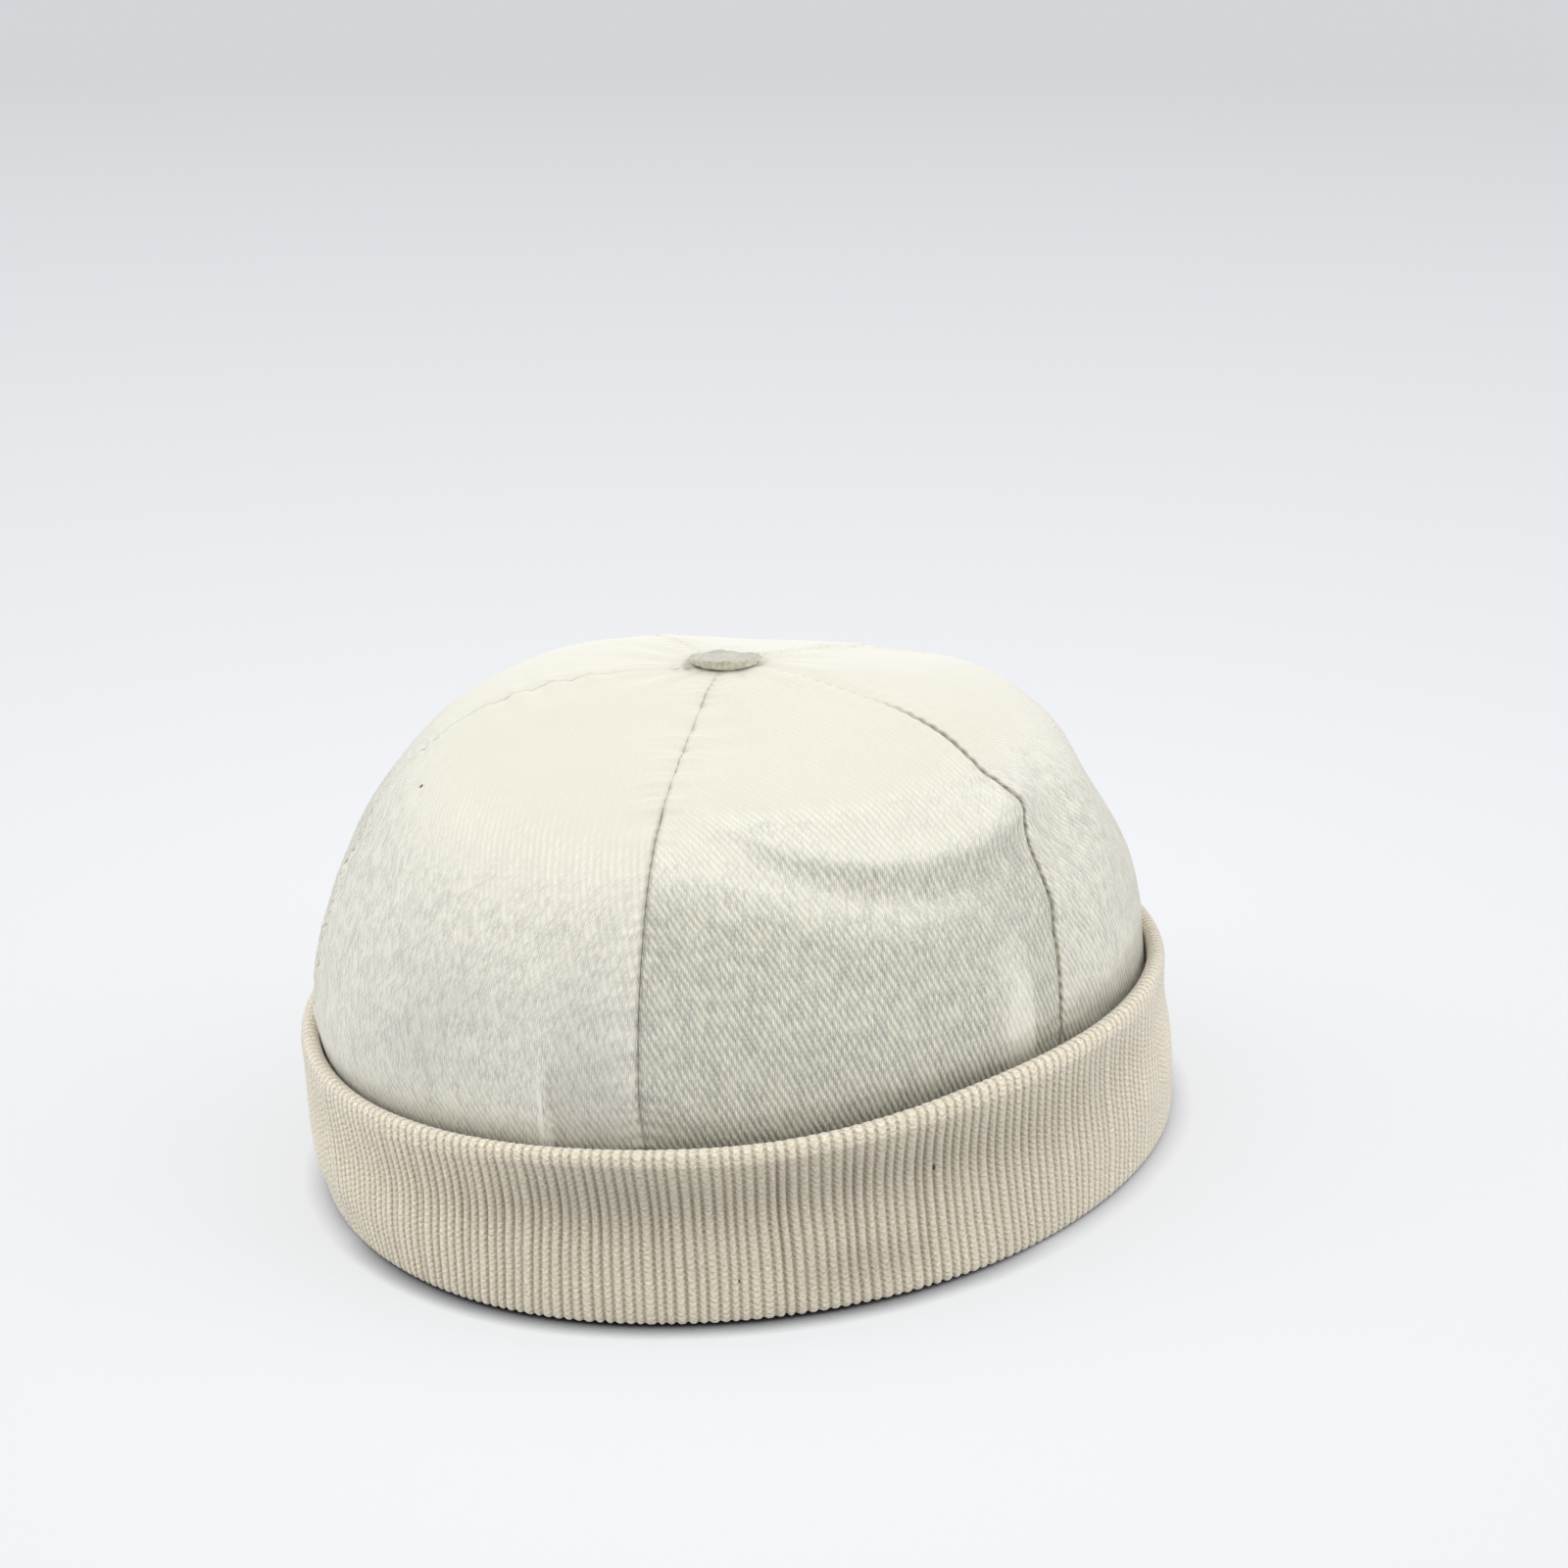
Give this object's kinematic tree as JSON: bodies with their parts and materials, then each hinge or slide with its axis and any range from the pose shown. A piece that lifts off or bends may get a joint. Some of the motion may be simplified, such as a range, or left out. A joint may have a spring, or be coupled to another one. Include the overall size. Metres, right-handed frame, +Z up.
{
  "type": "docker hat",
  "caption": "Round brimless cap of curved cloth panels with a covered button on top and a turned-up rib-knit cuff that it rests on.",
  "frame": {"origin": "on the surface that the hat rests on, under the middle of the hat", "axes": "+Z up out of the crown, -Y to the front panel of the crown, +X to the side with the dent; Y runs along the long way of the oval"},
  "size_m": [0.1709, 0.2135, 0.1104],
  "materials": {
    "cotton_twill": "ecru cotton twill, matt, with fine diagonal ribs",
    "rib_knit": "beige cotton rib knit, matt, one by one ribs running up the cuff",
    "covered_button": "button covered in the crown's cloth, matt"
  },
  "bodies": {
    "root": {"crown_panel_front": "cotton_twill", "crown_panel_side_right": "cotton_twill", "crown_panel_back_right": "cotton_twill", "crown_panel_back_left": "cotton_twill", "crown_panel_side_left": "cotton_twill", "cuff": "rib_knit", "top_button": "covered_button"}
  },
  "joints": []
}
